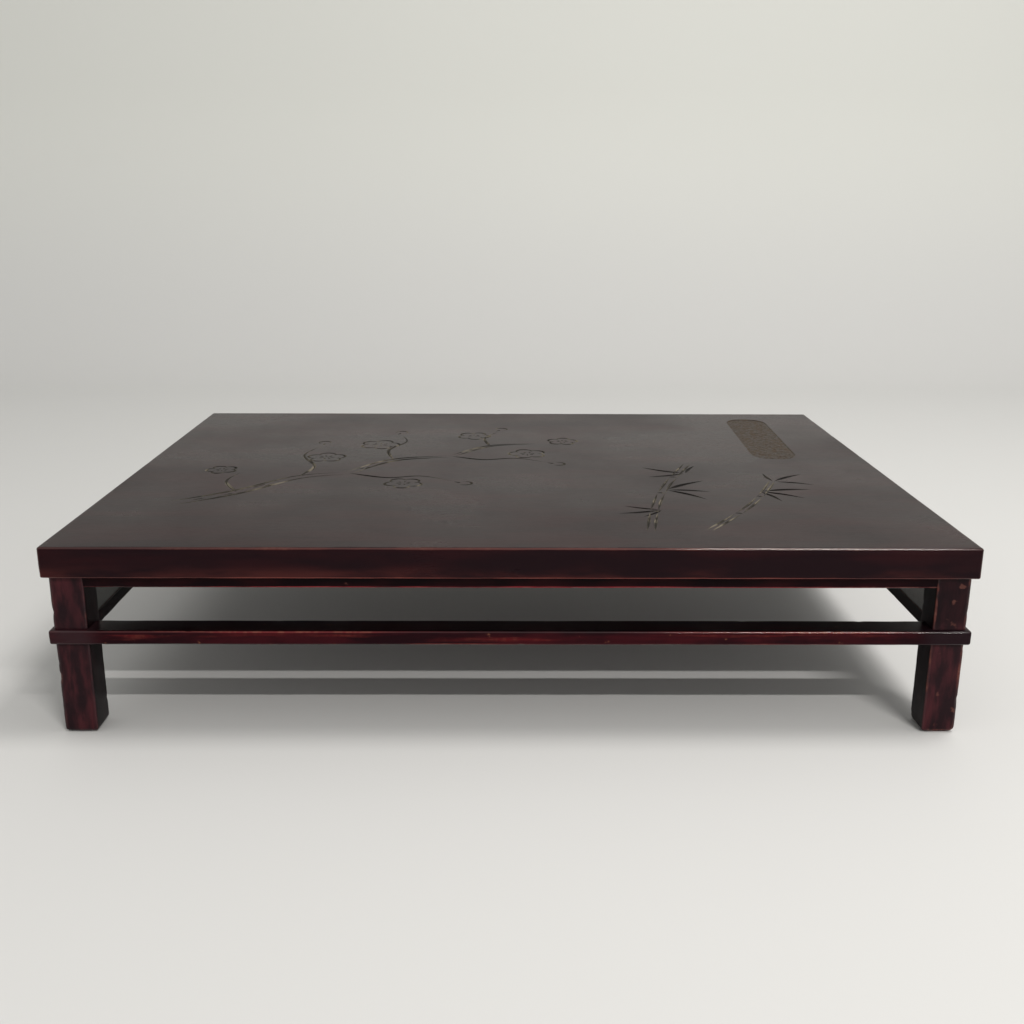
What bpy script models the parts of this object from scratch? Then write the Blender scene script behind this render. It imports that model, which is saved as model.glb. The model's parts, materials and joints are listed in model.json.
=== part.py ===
# Low table of lacquered hardwood. A thick board stands on four square legs, with apron rails under the
# board and a ring of stretchers at mid height that wraps round the outside of the legs.
# Metres, +Z up, origin on the floor under the middle of the board, front towards -Y.

import math

import bmesh
import bpy
from mathutils import Matrix, Vector

# Overall size
TOP_LENGTH = 0.480
TOP_DEPTH = 0.360
TABLE_HEIGHT = 0.104

# Clearances
FIT_GAP = 0.0003  # between pieces that seat on each other
CUT_MARGIN = 0.002  # how far a cutter stands out of the wood that it cuts
ROOT_LAP = 0.001  # how far a tenon is sunk into its own piece where the two are joined
SAME_PLACE = 0.000001  # points closer than this are one
FLAT_ANGLE = math.radians(0.5)  # faces that turn less than this against each other are one

# Top board
TOP_THICKNESS = 0.0165
TOP_OVERHANG = 0.0031  # past the outer faces of the legs, on all four sides
TOP_ARRIS = 0.0012
TOP_LOWER_ARRIS = 0.0009
TOP_CORNER = 0.0005

# Legs
LEG_SIDE = 0.0177
LEG_OUTER_ARRIS = 0.0006
LEG_ARRIS = 0.0005
LEG_FOOT_ROUND = 0.0020
LEG_TENON_SIDE = 0.0090
LEG_TENON_LENGTH = 0.0090

# Mortises in the legs
MORTISE_WALL = 0.0012  # wood left between the mortises that come from a leg's two inner faces

# Stretchers
STRETCHER_TOP = 0.0585  # upper face, over the floor
STRETCHER_HEIGHT = 0.0076
STRETCHER_PROUD = 0.0023  # how far the outer face stands out from the legs
STRETCHER_INSET = 0.0043  # how far the inner face stays back from the legs' inner faces
STRETCHER_HOUSING = 0.0033  # depth of the housing that it wraps into on a leg's outer face
STRETCHER_CORNER = 0.0013  # rounding of the mitred corner, seen from above
STRETCHER_ARRIS = 0.0011
STRETCHER_LOWER_ARRIS = 0.0009
STRETCHER_INNER_ARRIS = 0.0005
STRETCHER_TENON_HEIGHT = 0.0046
STRETCHER_TENON_THICKNESS = 0.0045

# Aprons
APRON_HEIGHT = 0.0062  # from the underside of the board
APRON_THICKNESS = 0.0090
APRON_SETBACK = 0.0005  # behind the outer faces of the legs
APRON_ARRIS = 0.0006
APRON_TENON_HEIGHT = 0.0034
APRON_TENON_THICKNESS = 0.0045

# Loose tenons between the aprons and the board
LOOSE_TENON_WIDTH = 0.0120
LOOSE_TENON_THICKNESS = 0.0030
LOOSE_TENON_IN_APRON = 0.0030
LOOSE_TENON_IN_BOARD = 0.0060
LOOSE_TENON_FROM_LEG = 0.0550  # leg's inner face to the middle of the tenon, on the long aprons
LOOSE_TENON_CHAMFER = 0.0004

# Cross battens in sliding dovetails under the board
BATTEN_WIDTH = 0.0180
BATTEN_DROP = 0.0050  # below the underside of the board
BATTEN_ARRIS = 0.0010
BATTEN_END_GAP = 0.0010  # between a batten and the aprons
BATTEN_BACK_SETBACK = 0.0015  # dovetail end, inside the board's back edge
DOVETAIL_NECK = 0.0100
DOVETAIL_FLARE = 0.0015  # widening on each side
DOVETAIL_DEPTH = 0.0050

# Facets of a rounded arris, and of a rounded corner in plan
ARRIS_SEGMENTS = 3
CORNER_SEGMENTS = 4

UNDERSIDE = TABLE_HEIGHT - TOP_THICKNESS
FRAME_HALF_LENGTH = TOP_LENGTH / 2 - TOP_OVERHANG
FRAME_HALF_DEPTH = TOP_DEPTH / 2 - TOP_OVERHANG
STRETCHER_MIDDLE = STRETCHER_TOP - STRETCHER_HEIGHT / 2
STRETCHER_CHEEK_BACK = STRETCHER_HOUSING - FIT_GAP
STRETCHER_INNER_FACE = LEG_SIDE - STRETCHER_INSET
STRETCHER_TENON_MIDDLE = (STRETCHER_CHEEK_BACK + STRETCHER_INNER_FACE) / 2
APRON_BACK = APRON_SETBACK + APRON_THICKNESS
APRON_TENON_MIDDLE = APRON_SETBACK + APRON_THICKNESS / 2
APRON_MIDDLE_HEIGHT = UNDERSIDE - (APRON_HEIGHT + FIT_GAP) / 2
BATTEN_OFFSET = TOP_LENGTH / 6  # the two battens stand at the thirds of the board

PARTS = "low_table"
CUTTERS = "low_table_cutters"

# Corners and sides in the same turning order. A leg is modelled as the front left one and a rail as a
# front one, and each is turned about the vertical into its place.
CORNERS = (
    ("front_left", -1, -1, 0),
    ("front_right", 1, -1, 90),
    ("back_right", 1, 1, 180),
    ("back_left", -1, 1, 270),
)
SIDES = (
    ("front", 0, -FRAME_HALF_DEPTH, FRAME_HALF_LENGTH, 0),
    ("right", FRAME_HALF_LENGTH, 0, FRAME_HALF_DEPTH, 90),
    ("back", 0, FRAME_HALF_DEPTH, FRAME_HALF_LENGTH, 180),
    ("left", -FRAME_HALF_LENGTH, 0, FRAME_HALF_DEPTH, 270),
)


# Scene, materials and shared shapes


def clear_scene():
    for obj in list(bpy.data.objects):
        bpy.data.objects.remove(obj)


def add_collection(name):
    collection = bpy.data.collections.get(name)
    if collection is None:
        collection = bpy.data.collections.new(name)
        bpy.context.scene.collection.children.link(collection)
    return collection


def add_material(name, colour, roughness):
    material = bpy.data.materials.new(name)
    material.use_nodes = True
    shader = material.node_tree.nodes["Principled BSDF"]
    shader.inputs["Base Color"].default_value = (*colour, 1.0)
    shader.inputs["Roughness"].default_value = roughness
    shader.inputs["Metallic"].default_value = 0.0
    return material


def add_piece(name, mesh, material, location, turn=0):
    """One piece of the table at its place, turned about the vertical by a number of degrees."""
    piece = bpy.data.objects.new(name, mesh)
    bpy.data.collections[PARTS].objects.link(piece)
    piece.parent = bpy.data.objects["table_origin"]
    piece.location = location
    piece.rotation_euler.z = math.radians(turn)
    if not mesh.materials:
        mesh.materials.append(material)
    return piece


def shape_with(piece, name, mesh, operation):
    """Cuts a helper shape out of a piece, or joins it on. The helper is in the piece's own frame."""
    helper = bpy.data.objects.new(piece.name + "_" + name, mesh)
    bpy.data.collections[CUTTERS].objects.link(helper)
    helper.parent = piece
    helper.hide_render = True
    helper.display_type = "WIRE"
    modifier = piece.modifiers.new(name, "BOOLEAN")
    modifier.operation = operation
    modifier.object = helper
    return helper


def round_edges(piece, radius_at, segments=ARRIS_SEGMENTS):
    """Rounds each edge by the radius that radius_at gives for its two ends, 0 for a sharp one."""
    mesh = piece.data
    corners = [vertex.co for vertex in mesh.vertices]
    radii = [radius_at(*(corners[i] for i in edge.vertices)) for edge in mesh.edges]
    widest = max(radii)
    weights = mesh.attributes.get("bevel_weight_edge")
    if weights is None:
        weights = mesh.attributes.new("bevel_weight_edge", "FLOAT", "EDGE")
    weights.data.foreach_set("value", [radius / widest for radius in radii])
    modifier = piece.modifiers.new("arrises", "BEVEL")
    modifier.limit_method = "WEIGHT"
    modifier.width = widest
    modifier.segments = segments
    # Corners where unlike roundings meet are slightly warped, so they are made flat triangles.
    piece.modifiers.new("flat_facets", "TRIANGULATE")


def both_at(index, value, one, other):
    """True where an edge's two ends both have this coordinate."""
    return max(abs(one[index] - value), abs(other[index] - value)) < SAME_PLACE


def boxes_mesh(name, boxes):
    """Separate upright boxes, each given by its lowest and highest corners."""
    shape = bmesh.new()
    for low, high in boxes:
        size = Vector(high) - Vector(low)
        middle = (Vector(high) + Vector(low)) / 2
        place = Matrix.Translation(middle) @ Matrix.Diagonal((*size, 1.0))
        bmesh.ops.create_cube(shape, size=1.0, matrix=place)
    mesh = bpy.data.meshes.new(name)
    shape.to_mesh(mesh)
    shape.free()
    return mesh


def prism_mesh(name, outline, thickness):
    """A flat outline in the XY plane made this thick, half above the plane and half below."""
    curve = bpy.data.curves.new(name, "CURVE")
    curve.dimensions = "2D"
    curve.fill_mode = "BOTH"
    curve.extrude = thickness / 2
    spline = curve.splines.new("POLY")
    spline.points.add(len(outline) - 1)
    for point, (x, y) in zip(spline.points, outline):
        point.co = (x, y, 0.0, 1.0)
    spline.use_cyclic_u = True
    guide = bpy.data.objects.new(name, curve)
    bpy.context.scene.collection.objects.link(guide)
    graph = bpy.context.evaluated_depsgraph_get()
    mesh = bpy.data.meshes.new_from_object(guide.evaluated_get(graph))
    bpy.data.objects.remove(guide)
    shape = bmesh.new()
    shape.from_mesh(mesh)
    bmesh.ops.remove_doubles(shape, verts=shape.verts, dist=SAME_PLACE)
    bmesh.ops.dissolve_limit(shape, angle_limit=FLAT_ANGLE, verts=shape.verts, edges=shape.edges)
    bmesh.ops.recalc_face_normals(shape, faces=shape.faces)
    shape.to_mesh(mesh)
    shape.free()
    return mesh


def arc(middle, radius, start, end):
    """Points of an arc between two angles in degrees."""
    step = (end - start) / CORNER_SEGMENTS
    angles = [math.radians(start + step * i) for i in range(CORNER_SEGMENTS + 1)]
    return [(middle[0] + radius * math.cos(a), middle[1] + radius * math.sin(a)) for a in angles]


# Joints that two pieces share


def tenon_reach(inner_cheek):
    """How far a tenon runs into a leg, so that MORTISE_WALL is left to the mortise from the next face.

    inner_cheek is the tenon's side that is further from the leg's outer face, measured from that face.
    """
    return LEG_SIDE - inner_cheek - 2 * FIT_GAP - MORTISE_WALL


STRETCHER_REACH = tenon_reach(STRETCHER_TENON_MIDDLE + STRETCHER_TENON_THICKNESS / 2)
APRON_REACH = tenon_reach(APRON_TENON_MIDDLE + APRON_TENON_THICKNESS / 2)


def rail_tenons(name, half_length, shoulder, reach, middle, thickness, height):
    """The stub tenons of both ends of a rail, in the rail's own frame and about its middle height."""
    root = shoulder - ROOT_LAP
    tip = half_length - LEG_SIDE + reach
    low_y = middle - thickness / 2
    high_y = middle + thickness / 2
    right = ((root, low_y, -height / 2), (tip, high_y, height / 2))
    left = ((-tip, low_y, -height / 2), (-root, high_y, height / 2))
    return boxes_mesh(name, [left, right])


def leg_mortise(reach, middle, thickness, middle_height, height):
    """The box of a leg's mortise for a rail along X. The leg's own origin is in the middle of its foot."""
    half = LEG_SIDE / 2
    half_width = thickness / 2 + FIT_GAP
    half_height = height / 2 + FIT_GAP
    low = (half - reach - FIT_GAP, middle - half - half_width, middle_height - half_height)
    high = (half + CUT_MARGIN, middle - half + half_width, middle_height + half_height)
    return low, high


def along_y(boxes):
    """The same boxes for the rail along Y: a leg is alike about its diagonal."""
    return [((low[1], low[0], low[2]), (high[1], high[0], high[2])) for low, high in boxes]


def loose_tenon_places(half_length):
    """Where a rail of this half length has loose tenons, along the rail."""
    if half_length < FRAME_HALF_LENGTH:
        return (0.0,)
    place = half_length - LEG_SIDE - LOOSE_TENON_FROM_LEG
    return (-place, place)


def dovetail_half_width(height):
    """Half the width of a batten's dovetail at a height over the underside of the board."""
    rise = (height + FIT_GAP) / (DOVETAIL_DEPTH + FIT_GAP)
    return DOVETAIL_NECK / 2 + DOVETAIL_FLARE * rise


# Pieces


def add_top_board(material):
    low = (-TOP_LENGTH / 2, -TOP_DEPTH / 2, 0.0)
    high = (TOP_LENGTH / 2, TOP_DEPTH / 2, TOP_THICKNESS)
    board = add_piece("top_board", boxes_mesh("top_board", [(low, high)]), material, (0, 0, UNDERSIDE))

    def radius_at(one, other):
        if both_at(2, TOP_THICKNESS, one, other):
            return TOP_ARRIS
        if both_at(2, 0.0, one, other):
            return TOP_LOWER_ARRIS
        return TOP_CORNER

    round_edges(board, radius_at)
    shape_with(board, "leg_mortises", boxes_mesh("leg_mortises", board_leg_mortises()), "DIFFERENCE")
    shape_with(board, "loose_tenon_sockets", boxes_mesh("board_sockets", board_sockets()), "DIFFERENCE")
    for side, offset in (("left", -BATTEN_OFFSET), ("right", BATTEN_OFFSET)):
        front = batten_front() - FIT_GAP
        back = TOP_DEPTH / 2 + CUT_MARGIN
        groove = shape_with(board, "groove_" + side, groove_mesh(back - front), "DIFFERENCE")
        groove.location = (offset, (front + back) / 2, 0)
        groove.rotation_euler.x = math.radians(90)


def board_leg_mortises():
    boxes = []
    half = LEG_TENON_SIDE / 2 + FIT_GAP
    for _, side_x, side_y, _ in CORNERS:
        x = side_x * (FRAME_HALF_LENGTH - LEG_SIDE / 2)
        y = side_y * (FRAME_HALF_DEPTH - LEG_SIDE / 2)
        low = (x - half, y - half, -CUT_MARGIN)
        high = (x + half, y + half, LEG_TENON_LENGTH + FIT_GAP)
        boxes.append((low, high))
    return boxes


def board_sockets():
    boxes = []
    for _, x, y, half_length, turn in SIDES:
        frame = Matrix.Translation((x, y, 0)) @ Matrix.Rotation(math.radians(turn), 4, "Z")
        for place in loose_tenon_places(half_length):
            half_size = Vector((LOOSE_TENON_WIDTH / 2, LOOSE_TENON_THICKNESS / 2, 0))
            half_size += Vector((FIT_GAP, FIT_GAP, 0))
            middle = frame @ Vector((place, APRON_TENON_MIDDLE, 0))
            if turn % 180:
                half_size = half_size.yxz
            low = middle - half_size + Vector((0, 0, -CUT_MARGIN))
            high = middle + half_size + Vector((0, 0, LOOSE_TENON_IN_BOARD + FIT_GAP))
            boxes.append((low, high))
    return boxes


def add_legs(material):
    half = LEG_SIDE / 2
    top = UNDERSIDE - FIT_GAP
    body = boxes_mesh("leg", [((-half, -half, 0.0), (half, half, top))])
    half_tenon = LEG_TENON_SIDE / 2
    tenon_low = (-half_tenon, -half_tenon, top - ROOT_LAP)
    tenon_high = (half_tenon, half_tenon, UNDERSIDE + LEG_TENON_LENGTH)
    housing_low = (-half - CUT_MARGIN, -half - CUT_MARGIN, STRETCHER_TOP - STRETCHER_HEIGHT - FIT_GAP)
    housing_high = (half + CUT_MARGIN, -half + STRETCHER_HOUSING, STRETCHER_TOP + FIT_GAP)
    housing = [(housing_low, housing_high)]
    mortises = [
        leg_mortise(
            STRETCHER_REACH,
            STRETCHER_TENON_MIDDLE,
            STRETCHER_TENON_THICKNESS,
            STRETCHER_MIDDLE,
            STRETCHER_TENON_HEIGHT,
        ),
        leg_mortise(
            APRON_REACH, APRON_TENON_MIDDLE, APRON_TENON_THICKNESS, APRON_MIDDLE_HEIGHT, APRON_TENON_HEIGHT
        ),
    ]

    def radius_at(one, other):
        if both_at(2, 0.0, one, other):
            return LEG_FOOT_ROUND
        if both_at(2, top, one, other):
            return 0.0
        if both_at(0, -half, one, other) and both_at(1, -half, one, other):
            return LEG_OUTER_ARRIS
        return LEG_ARRIS

    helpers = (
        ("tenon", boxes_mesh("leg_tenon", [(tenon_low, tenon_high)]), "UNION"),
        ("housing_x", boxes_mesh("leg_housing_x", housing), "DIFFERENCE"),
        ("housing_y", boxes_mesh("leg_housing_y", along_y(housing)), "DIFFERENCE"),
        ("mortises_x", boxes_mesh("leg_mortises_x", mortises), "DIFFERENCE"),
        ("mortises_y", boxes_mesh("leg_mortises_y", along_y(mortises)), "DIFFERENCE"),
    )
    for corner, side_x, side_y, turn in CORNERS:
        x = side_x * (FRAME_HALF_LENGTH - half)
        y = side_y * (FRAME_HALF_DEPTH - half)
        leg = add_piece("leg_" + corner, body, material, (x, y, 0), turn)
        round_edges(leg, radius_at)
        for name, mesh, operation in helpers:
            shape_with(leg, name, mesh, operation)


def add_aprons(material):
    half_height = (APRON_HEIGHT - FIT_GAP) / 2

    def radius_at(one, other):
        if both_at(2, -half_height, one, other) and both_at(1, one.y, one, other):
            return APRON_ARRIS
        return 0.0

    for side, x, y, half_length, turn in SIDES:
        shoulder = half_length - LEG_SIDE - FIT_GAP
        low = (-shoulder, APRON_SETBACK, -half_height)
        high = (shoulder, APRON_BACK, half_height)
        mesh = boxes_mesh("apron_" + side, [(low, high)])
        apron = add_piece("apron_" + side, mesh, material, (x, y, APRON_MIDDLE_HEIGHT), turn)
        round_edges(apron, radius_at)
        tenons = rail_tenons(
            "apron_tenons_" + side,
            half_length,
            shoulder,
            APRON_REACH,
            APRON_TENON_MIDDLE,
            APRON_TENON_THICKNESS,
            APRON_TENON_HEIGHT,
        )
        shape_with(apron, "tenons", tenons, "UNION")
        half_width = LOOSE_TENON_WIDTH / 2 + FIT_GAP
        half_thickness = LOOSE_TENON_THICKNESS / 2 + FIT_GAP
        floor = half_height - LOOSE_TENON_IN_APRON
        sockets = [
            (
                (place - half_width, APRON_TENON_MIDDLE - half_thickness, floor),
                (place + half_width, APRON_TENON_MIDDLE + half_thickness, half_height + CUT_MARGIN),
            )
            for place in loose_tenon_places(half_length)
        ]
        shape_with(apron, "sockets", boxes_mesh("apron_sockets_" + side, sockets), "DIFFERENCE")


def add_loose_tenons(material):
    names = {
        "front": ("loose_tenon_front_left", "loose_tenon_front_right"),
        "right": ("loose_tenon_right",),
        "back": ("loose_tenon_back_right", "loose_tenon_back_left"),
        "left": ("loose_tenon_left",),
    }
    low = (-LOOSE_TENON_WIDTH / 2, -LOOSE_TENON_THICKNESS / 2, -LOOSE_TENON_IN_APRON)
    high = (LOOSE_TENON_WIDTH / 2, LOOSE_TENON_THICKNESS / 2, LOOSE_TENON_IN_BOARD)
    mesh = boxes_mesh("loose_tenon", [(low, high)])
    for side, x, y, half_length, turn in SIDES:
        frame = Matrix.Translation((x, y, UNDERSIDE)) @ Matrix.Rotation(math.radians(turn), 4, "Z")
        for name, place in zip(names[side], loose_tenon_places(half_length)):
            location = frame @ Vector((place, APRON_TENON_MIDDLE, 0))
            tenon = add_piece(name, mesh, material, location, turn)
            round_edges(tenon, lambda one, other: LOOSE_TENON_CHAMFER, segments=1)


def stretcher_outline(half_length):
    """A stretcher from above: a thin cheek that passes the legs and a deeper part between them.

    The cheek ends in a mitre, half of FIT_GAP short of the line where it meets the next stretcher.
    """
    reach = half_length + STRETCHER_PROUD
    shoulder = half_length - LEG_SIDE - FIT_GAP
    corner_middle = (reach - STRETCHER_CORNER, STRETCHER_CORNER - STRETCHER_PROUD)
    mitre_angle = -45 - math.degrees(math.asin(FIT_GAP / 2 / STRETCHER_CORNER))
    mitre_heel = reach - STRETCHER_PROUD - STRETCHER_CHEEK_BACK - FIT_GAP / math.sqrt(2)
    right = arc(corner_middle, STRETCHER_CORNER, -90, mitre_angle)
    right += [
        (mitre_heel, STRETCHER_CHEEK_BACK),
        (shoulder, STRETCHER_CHEEK_BACK),
        (shoulder, STRETCHER_INNER_FACE),
    ]
    left = [(-x, y) for x, y in reversed(right)]
    return right + left


def add_stretchers(material):
    half_height = STRETCHER_HEIGHT / 2

    def radius_at(one, other):
        if both_at(1, STRETCHER_INNER_FACE, one, other) and both_at(2, one.z, one, other):
            return STRETCHER_INNER_ARRIS
        outside = max(one.y, other.y) < STRETCHER_CORNER - STRETCHER_PROUD
        if outside and both_at(2, half_height, one, other):
            return STRETCHER_ARRIS
        if outside and both_at(2, -half_height, one, other):
            return STRETCHER_LOWER_ARRIS
        return 0.0

    for side, x, y, half_length, turn in SIDES:
        mesh = prism_mesh("stretcher_" + side, stretcher_outline(half_length), STRETCHER_HEIGHT)
        stretcher = add_piece("stretcher_" + side, mesh, material, (x, y, STRETCHER_MIDDLE), turn)
        round_edges(stretcher, radius_at)
        tenons = rail_tenons(
            "stretcher_tenons_" + side,
            half_length,
            half_length - LEG_SIDE - FIT_GAP,
            STRETCHER_REACH,
            STRETCHER_TENON_MIDDLE,
            STRETCHER_TENON_THICKNESS,
            STRETCHER_TENON_HEIGHT,
        )
        shape_with(stretcher, "tenons", tenons, "UNION")


def batten_front():
    """Where a batten's front end stands, behind the front apron."""
    return -FRAME_HALF_DEPTH + APRON_BACK + BATTEN_END_GAP


def groove_mesh(length):
    """The dovetail groove's cutter: across its width along X, over the board's underside along Y."""
    mouth = dovetail_half_width(-CUT_MARGIN) + FIT_GAP
    floor = dovetail_half_width(DOVETAIL_DEPTH) + FIT_GAP
    depth = DOVETAIL_DEPTH + FIT_GAP
    outline = [(-mouth, -CUT_MARGIN), (mouth, -CUT_MARGIN), (floor, depth), (-floor, depth)]
    return prism_mesh("dovetail_groove", outline, length)


def add_battens(material):
    front = batten_front()
    back = TOP_DEPTH / 2 - BATTEN_BACK_SETBACK
    bar_back = FRAME_HALF_DEPTH - APRON_BACK - BATTEN_END_GAP
    middle = (front + back) / 2
    half_bar = BATTEN_WIDTH / 2
    neck = DOVETAIL_NECK / 2
    crown = dovetail_half_width(DOVETAIL_DEPTH)
    right = [(half_bar, -BATTEN_DROP), (half_bar, -FIT_GAP), (neck, -FIT_GAP), (crown, DOVETAIL_DEPTH)]
    outline = right + [(-x, height) for x, height in reversed(right)]
    # In the batten's own frame Y points up and Z to the front.
    relief_low = (-half_bar - CUT_MARGIN, -BATTEN_DROP - CUT_MARGIN, middle - back - CUT_MARGIN)
    relief_high = (half_bar + CUT_MARGIN, 0.0, middle - bar_back)
    relief = boxes_mesh("batten_relief", [(relief_low, relief_high)])

    def radius_at(one, other):
        if both_at(1, -BATTEN_DROP, one, other) and both_at(0, one.x, one, other):
            return BATTEN_ARRIS
        return 0.0

    for side, offset in (("left", -BATTEN_OFFSET), ("right", BATTEN_OFFSET)):
        mesh = prism_mesh("batten_" + side, outline, back - front)
        batten = add_piece("batten_" + side, mesh, material, (offset, middle, UNDERSIDE))
        batten.rotation_euler.x = math.radians(90)
        round_edges(batten, radius_at)
        shape_with(batten, "apron_relief", relief, "DIFFERENCE")


def build_table():
    clear_scene()
    parts = add_collection(PARTS)
    add_collection(CUTTERS).hide_render = True
    parts.objects.link(bpy.data.objects.new("table_origin", None))
    add_top_board(add_material("board_lacquer", (0.060, 0.028, 0.026), 0.28))
    add_legs(add_material("leg_lacquer", (0.072, 0.022, 0.020), 0.36))
    add_aprons(add_material("apron_lacquer", (0.055, 0.017, 0.016), 0.38))
    add_stretchers(add_material("stretcher_lacquer", (0.090, 0.024, 0.021), 0.34))
    add_battens(add_material("batten_wood", (0.120, 0.055, 0.035), 0.60))
    add_loose_tenons(add_material("tenon_wood", (0.160, 0.080, 0.050), 0.65))


build_table()
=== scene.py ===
import json
import math
import random

import bmesh
import bpy
from mathutils import Matrix, Vector, noise

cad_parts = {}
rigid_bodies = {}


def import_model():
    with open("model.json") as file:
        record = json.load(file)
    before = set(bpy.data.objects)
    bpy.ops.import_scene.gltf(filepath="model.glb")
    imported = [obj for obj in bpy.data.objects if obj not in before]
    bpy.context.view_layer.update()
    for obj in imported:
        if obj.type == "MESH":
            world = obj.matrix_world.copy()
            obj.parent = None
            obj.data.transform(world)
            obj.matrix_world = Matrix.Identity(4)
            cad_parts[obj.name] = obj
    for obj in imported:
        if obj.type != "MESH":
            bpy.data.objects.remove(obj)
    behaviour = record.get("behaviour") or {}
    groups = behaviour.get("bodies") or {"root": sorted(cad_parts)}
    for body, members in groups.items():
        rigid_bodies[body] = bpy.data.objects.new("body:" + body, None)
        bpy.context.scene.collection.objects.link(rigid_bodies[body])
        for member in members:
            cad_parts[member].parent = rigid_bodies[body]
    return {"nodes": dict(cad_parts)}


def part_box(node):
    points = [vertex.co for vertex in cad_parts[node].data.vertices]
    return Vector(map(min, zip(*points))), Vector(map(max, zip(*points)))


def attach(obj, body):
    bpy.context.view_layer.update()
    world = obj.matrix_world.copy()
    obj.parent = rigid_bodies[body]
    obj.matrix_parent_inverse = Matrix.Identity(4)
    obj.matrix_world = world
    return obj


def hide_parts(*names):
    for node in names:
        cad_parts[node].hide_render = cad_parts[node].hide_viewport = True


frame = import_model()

scene = bpy.context.scene
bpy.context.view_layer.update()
mm = 0.001
fitGap = 0.3 * mm
seat = 0.5 * mm  # how far shoulders run into the piece that they close on
sides = ["front", "right", "back", "left"]  # each a quarter turn after the one before
endLegs = {
    "front": "leg_front_right", "right": "leg_back_right",
    "back": "leg_back_left", "left": "leg_front_left",
}


def addObject(name, data):
    made = bpy.data.objects.new(name, data)
    scene.collection.objects.link(made)
    return made


# camera, where the photograph was taken from
cameraView = {
    "place": (-0.00375, -0.7241, 0.27746),
    "pitch": -15.844, "yaw": 0.408, "roll": 0.209,
    "lens": 39.717, "sensor": 36.0,
}


def addCamera():
    data = bpy.data.cameras.new("camera")
    data.lens = cameraView["lens"]
    data.sensor_width = cameraView["sensor"]
    camera = addObject("camera", data)
    turn = Matrix.Rotation(-math.radians(cameraView["yaw"]), 4, "Z")
    tilt = Matrix.Rotation(math.radians(90 + cameraView["pitch"]), 4, "X")
    lean = Matrix.Rotation(math.radians(cameraView["roll"]), 4, "Z")
    camera.matrix_world = Matrix.Translation(cameraView["place"]) @ turn @ tilt @ lean
    scene.camera = camera


addCamera()
print("camera set")


def linear(colour):
    # sRGB 0 to 255 into the linear values that shaders take
    shares = [value / 255 for value in colour]
    return tuple(s / 12.92 if s <= 0.04045 else ((s + 0.055) / 1.055) ** 2.4 for s in shares) + (1.0,)


# node helpers
def addNode(tree, kind, **settings):
    made = tree.nodes.new(kind)
    for name, value in settings.items():
        setattr(made, name, value)
    return made


def setInputs(made, **values):
    for name, value in values.items():
        made.inputs[name].default_value = value


def feed(tree, sockets, values):
    # numbers, vectors and colours are set, and outputs of other nodes are linked
    for socket, value in zip(sockets, values):
        if isinstance(value, (int, float, tuple)):
            socket.default_value = value
        else:
            tree.links.new(value, socket)


def mathNode(tree, operation, first, second, clamp=False):
    made = addNode(tree, "ShaderNodeMath", operation=operation, use_clamp=clamp)
    feed(tree, made.inputs, (first, second))
    return made.outputs[0]


def times(tree, first, second):
    return mathNode(tree, "MULTIPLY", first, second)


def rangeNode(tree, value, low, high, toLow=0.0, toHigh=1.0):
    made = addNode(tree, "ShaderNodeMapRange", interpolation_type="SMOOTHSTEP")
    feed(tree, made.inputs, (value, low, high, toLow, toHigh))
    return made.outputs[0]


def mixColour(tree, share, first, second):
    # each colour is sRGB 0 to 255, or an output
    made = addNode(tree, "ShaderNodeMix", data_type="RGBA")
    colours = [linear(colour) if isinstance(colour, tuple) else colour for colour in (first, second)]
    feed(tree, (made.inputs[0], made.inputs[6], made.inputs[7]), [share] + colours)
    return made.outputs[2]


def stretched(tree, vector, stretch):
    made = addNode(tree, "ShaderNodeVectorMath", operation="MULTIPLY")
    feed(tree, made.inputs, (vector, stretch))
    return made.outputs[0]


def parted(tree, vector):
    made = addNode(tree, "ShaderNodeSeparateXYZ")
    tree.links.new(vector, made.inputs[0])
    return made.outputs


def facingNode(tree):
    return addNode(tree, "ShaderNodeTexCoord").outputs["Normal"]


# noise patterns, and the limits between which each goes from 0 to 1
noises = {
    "figure": {"detail": 6.0, "roughness": 0.62, "limits": (0.3, 0.7)},
    "pores": {"detail": 3.0, "roughness": 0.6, "limits": (0.56, 0.7), "finer": 6.0},
    "thin": {"detail": 4.0, "roughness": 0.55, "limits": (0.38, 0.68)},
    "often": {"detail": 5.0, "roughness": 0.6, "limits": (0.35, 0.68)},
    "fleck": {"detail": 3.0, "roughness": 0.55, "limits": (0.42, 0.62)},
    "chip": {"detail": 4.0, "roughness": 0.55},
    "smudge": {"detail": 5.0, "roughness": 0.55, "limits": (0.35, 0.7)},
    "marks": {"detail": 2.0, "roughness": 0.5, "limits": (0.45, 0.75)},
}


def noiseNode(tree, vector, scale, name):
    made = addNode(tree, "ShaderNodeTexNoise")
    setInputs(made, Detail=noises[name]["detail"], Roughness=noises[name]["roughness"])
    feed(tree, (made.inputs["Vector"], made.inputs["Scale"]), (vector, scale))
    return made.outputs["Fac"]


def patchNode(tree, vector, scale, name):
    return rangeNode(tree, noiseNode(tree, vector, scale, name), *noises[name]["limits"])


def newGroup(name, values, outputs):
    # every group takes a place and how far to stretch it, and then its own values
    tree = bpy.data.node_groups.new(name, "ShaderNodeTree")
    inputs = {"Vector": (0.0, 0.0, 0.0), "Stretch": (1.0, 1.0, 1.0)} | values
    for label, value in inputs.items():
        kind = "NodeSocketVector" if isinstance(value, tuple) else "NodeSocketFloat"
        tree.interface.new_socket(label, in_out="INPUT", socket_type=kind).default_value = value
    for label in outputs:
        tree.interface.new_socket(label, in_out="OUTPUT", socket_type="NodeSocketFloat")
    return tree, addNode(tree, "NodeGroupInput").outputs, addNode(tree, "NodeGroupOutput").inputs


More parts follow.
